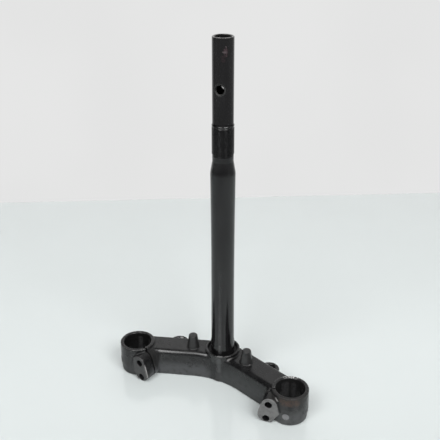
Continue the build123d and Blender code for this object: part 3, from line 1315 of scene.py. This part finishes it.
    def _marks(self) -> list[Mark]:
        """Place the dabs of red and the worn hole near the top, and the painted highlight streaks further
        down.

        Returns:
            The marks, in the order in which they lie on the paint.
        """
        red = (0.034, 0.016, 0.02)
        pink = (0.075, 0.058, 0.063)
        hole = self._on_stem(self.hole_turn, self.hole_height_mm)
        marks = [
            Mark(
                self._on_stem(39.0, 424.0), self._on_stem(41.0, 418.5), reach_mm=1.2, fade_mm=1.6,
                colour=red, share=0.85, grain_mm=2.2,
            ),
            Mark(
                self._on_stem(27.0, 421.6), self._on_stem(41.0, 421.0), reach_mm=0.6, fade_mm=0.9,
                colour=pink, share=0.85,
            ),
            Mark(self._on_stem(26.0, 416.0), self._on_stem(27.5, 412.5), 1.0, 2.0, red, share=0.3),
            Mark(self._on_stem(40.2, 427.0), self._on_stem(41.0, 426.6), 0.5, 0.5, pink, share=0.7),
            Mark(
                hole - rise_mm(0.1), hole, reach_mm=self.hole_mm + self.hole_sink_mm + 0.4, fade_mm=0.5,
                colour=(0.016, 0.016, 0.016), share=0.95, grain_mm=3.0, breaks=(0.0, 0.2),
            ),
        ]
        return marks + self._streaks()

    def _streaks(self) -> list[Mark]:
        """Place painted highlights as pale streaks down the thread and, fading upwards, up from the foot of
        the tube.

        Returns:
            The marks, in the order in which they lie on the paint.
        """
        # The streaks are painted highlights.
        shine = (0.05, 0.05, 0.051)
        marks = []
        for angle in (8.0, 42.0):
            foot = self._on_stem(angle, self.thread_foot_mm + 1.0)
            top = self._on_stem(angle, self.thread_top_mm - 2.0)
            marks.append(Mark(foot, top, 0.9, 1.6, shine, share=0.3, breaks=(0.3, 0.6), rough=0.4))
        angle = self.streak_turn
        marks.append(
            Mark(
                self._on_stem(angle, 43.0), self._on_stem(angle, 52.5), reach_mm=0.8, fade_mm=2.4,
                colour=shine, share=0.7, grain_mm=3.0, breaks=(0.1, 0.4), rough=0.3,
            )
        )
        foot = self._on_stem(angle, self.streak_foot_mm)
        for step in range(self.streak_count):
            top = self._on_stem(angle, self.streak_first_mm + self.streak_step_mm * step)
            marks.append(
                Mark(
                    foot, top, reach_mm=0.3, fade_mm=3.2, colour=shine, share=0.1,
                    grain_mm=3.0, breaks=(0.1, 0.5), rough=0.3,
                )
            )
        return marks

    def dress(self, piece: bpy.types.Object) -> None:
        """Paint the stem.

        Args:
            piece: the piece from build.
        """
        rim = (self.top_mm - self.rim_lead_mm) * MM
        piece.data.materials.clear()
        piece.data.materials.append(StemPaint().make(self._marks(), rim))


@dataclass(frozen=True)
class Softbox:
    """A soft lamp that looks at the part, placed by its bearing from straight ahead."""

    name: str
    bearing: float
    elevation: float
    distance: float
    size: float
    power: float

    def hang(self) -> None:
        """Add the lamp."""
        turn = radians(self.bearing)
        level = cos(radians(self.elevation))
        out = Vector((level * sin(turn), -level * cos(turn), sin(radians(self.elevation))))
        start_clean()
        bpy.ops.object.light_add(type="AREA", location=out * self.distance)
        lamp = bpy.context.active_object
        lamp.name = self.name
        lamp.data.shape = "SQUARE"
        lamp.data.size = self.size
        lamp.data.energy = self.power
        lamp.rotation_euler = (-out).to_track_quat("-Z", "Y").to_euler()


@dataclass
class Studio:
    """Pale table, wall, soft lamps and the camera."""

    image_px: float = 440.0
    focal_px: float = 704.68
    centre_px: float = 220.5
    sensor_mm: float = 36.0
    eye: Vector = Vector((0.32863, -0.66735, 0.58298))
    heading: float = 26.429
    pitch: float = 25.871
    table_turn: float = 29.6
    table_back: float = 0.567
    table_size: tuple[float, float] = (2.2, 1.46)
    table_thickness: float = 0.03
    table_rim: float = 0.004
    table_rim_steps: int = 3
    table_rim_angle: float = 40.0
    wall_back: float = 1.15
    wall_size: tuple[float, float] = (3.4, 2.6)
    wall_middle: float = 0.4
    lamps: tuple[Softbox, ...] = (
        Softbox("left_softbox", bearing=-10.0, elevation=50.0, distance=3.4, size=1.8, power=57.0),
        Softbox("right_softbox", bearing=60.0, elevation=47.0, distance=3.4, size=1.6, power=64.0),
    )
    room_light: float = 0.42
    room_dim: float = 0.05
    dim_from: float = 0.55
    dim_full: float = 0.86
    storeys: tuple[tuple[float, float], ...] = ((0.42, 0.9), (0.46, 0.03), (0.52, 0.03), (0.6, 1.0))
    dim_side: Vector = Vector((-0.807, -0.142, 0.574))
    room_shown: float = 0.8

    def build(self) -> None:
        """Build the stage, the lamps and the camera."""
        self._table()
        self._wall()
        for lamp in self.lamps:
            lamp.hang()
        self._room()
        self._camera()

    def _outward(self) -> Vector:
        """Return the level direction from the stem to the table's rear edge."""
        turn = radians(self.table_turn)
        return Vector((-sin(turn), cos(turn), 0.0))

    def _table(self) -> None:
        """Lay a table top with a rounded rim under the part."""
        start_clean()
        bpy.ops.mesh.primitive_cube_add(size=1.0)
        table = bpy.context.active_object
        table.name = "table"
        table.scale = (*self.table_size, self.table_thickness)
        table.rotation_euler = (0.0, 0.0, radians(self.table_turn))
        middle = self._outward() * (self.table_back - self.table_size[1] / 2)
        table.location = middle - UP * self.table_thickness / 2
        bpy.ops.object.transform_apply(location=True, rotation=True, scale=True)
        apply_modifier(table, "BEVEL", width=self.table_rim, segments=self.table_rim_steps)
        bpy.ops.object.shade_smooth_by_angle(angle=radians(self.table_rim_angle))
        table.data.materials.append(TableWhite().make(self._outward(), self.table_back))

    def _wall(self) -> None:
        """Stand a wall behind the table."""
        start_clean()
        bpy.ops.mesh.primitive_plane_add(size=1.0)
        wall = bpy.context.active_object
        wall.name = "wall"
        wall.scale = (*self.wall_size, 1.0)
        wall.rotation_euler = (pi / 2, 0.0, radians(self.table_turn))
        wall.location = self._outward() * self.wall_back + UP * self.wall_middle
        bpy.ops.object.transform_apply(location=True, rotation=True, scale=True)
        wall.data.materials.append(WallWhite().make())

    def _room(self) -> None:
        """Surround the stage with an evenly lit room, dim on one side, that looks pale to the camera."""
        world = bpy.data.worlds.new("room")
        bpy.context.scene.world = world
        world.use_nodes = True
        nodes, links = world.node_tree.nodes, world.node_tree.links
        room = nodes["Background"]
        shown = nodes.new("ShaderNodeBackground")
        shown.inputs["Strength"].default_value = self.room_shown
        for part in (room, shown):
            part.inputs["Color"].default_value = (1.0, 1.0, 1.0, 1.0)
        links.new(self._room_level(world.node_tree), room.inputs["Strength"])
        blend = nodes.new("ShaderNodeMixShader")
        links.new(nodes.new("ShaderNodeLightPath").outputs["Is Camera Ray"], blend.inputs["Fac"])
        links.new(room.outputs["Background"], blend.inputs[1])
        links.new(shown.outputs["Background"], blend.inputs[2])
        links.new(blend.outputs["Shader"], nodes["World Output"].inputs["Surface"])

    def _room_level(self, tree: bpy.types.NodeTree) -> Socket:
        """Return how bright the room is in each direction.

        Args:
            tree: the world's node tree.

        Returns:
            The level, dim to one side and dark along the skirting.
        """
        nodes, links = tree.nodes, tree.links
        direction = nodes.new("ShaderNodeTexCoord").outputs["Generated"]
        toward = nodes.new("ShaderNodeVectorMath")
        toward.operation = "DOT_PRODUCT"
        toward.inputs[1].default_value = self.dim_side
        links.new(direction, toward.inputs[0])
        dim = nodes.new("ShaderNodeMapRange")
        dim.interpolation_type = "SMOOTHSTEP"
        dim.inputs["From Min"].default_value = self.dim_from
        dim.inputs["From Max"].default_value = self.dim_full
        dim.inputs["To Min"].default_value = self.room_light
        dim.inputs["To Max"].default_value = self.room_dim
        links.new(toward.outputs["Value"], dim.inputs["Value"])
        height = nodes.new("ShaderNodeSeparateXYZ")
        links.new(direction, height.inputs["Vector"])
        rise = nodes.new("ShaderNodeMapRange")
        rise.inputs["From Min"].default_value = -1.0
        links.new(height.outputs["Z"], rise.inputs["Value"])
        storey = nodes.new("ShaderNodeValToRGB")
        stops = storey.color_ramp.elements
        stops[0].position, stops[1].position = self.storeys[0][0], self.storeys[-1][0]
        for place, _ in self.storeys[1:-1]:
            stops.new(place)
        for stop, (_, share) in zip(stops, self.storeys):
            stop.color = (share, share, share, 1.0)
        links.new(rise.outputs["Result"], storey.inputs["Fac"])
        level = nodes.new("ShaderNodeMath")
        level.operation = "MULTIPLY"
        links.new(dim.outputs["Result"], level.inputs[0])
        links.new(storey.outputs["Color"], level.inputs[1])
        return level.outputs["Value"]

    def _camera(self) -> None:
        """Set the camera where the photograph was taken."""
        start_clean()
        turn = (radians(90 - self.pitch), 0.0, radians(self.heading))
        bpy.ops.object.camera_add(location=self.eye, rotation=turn)
        camera = bpy.context.active_object
        camera.data.sensor_width = self.sensor_mm
        camera.data.lens = self.focal_px / self.image_px * self.sensor_mm
        shift = (self.centre_px - self.image_px / 2) / self.image_px
        camera.data.shift_x = -shift
        camera.data.shift_y = shift
        bpy.context.scene.camera = camera
        bpy.context.scene.view_settings.view_transform = "Standard"


def main() -> None:
    """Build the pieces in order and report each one."""
    logging.basicConfig(level=logging.INFO, format="%(name)s: %(message)s")
    for part in (Yoke(), Stem()):
        piece = part.build()
        part.dress(piece)
        log.info("%s stands for %s with %d faces", piece.name, part.node, len(piece.data.polygons))
    Studio().build()
    log.info("table, wall, lamps and camera are set")


if __name__ == "__main__":
    main()
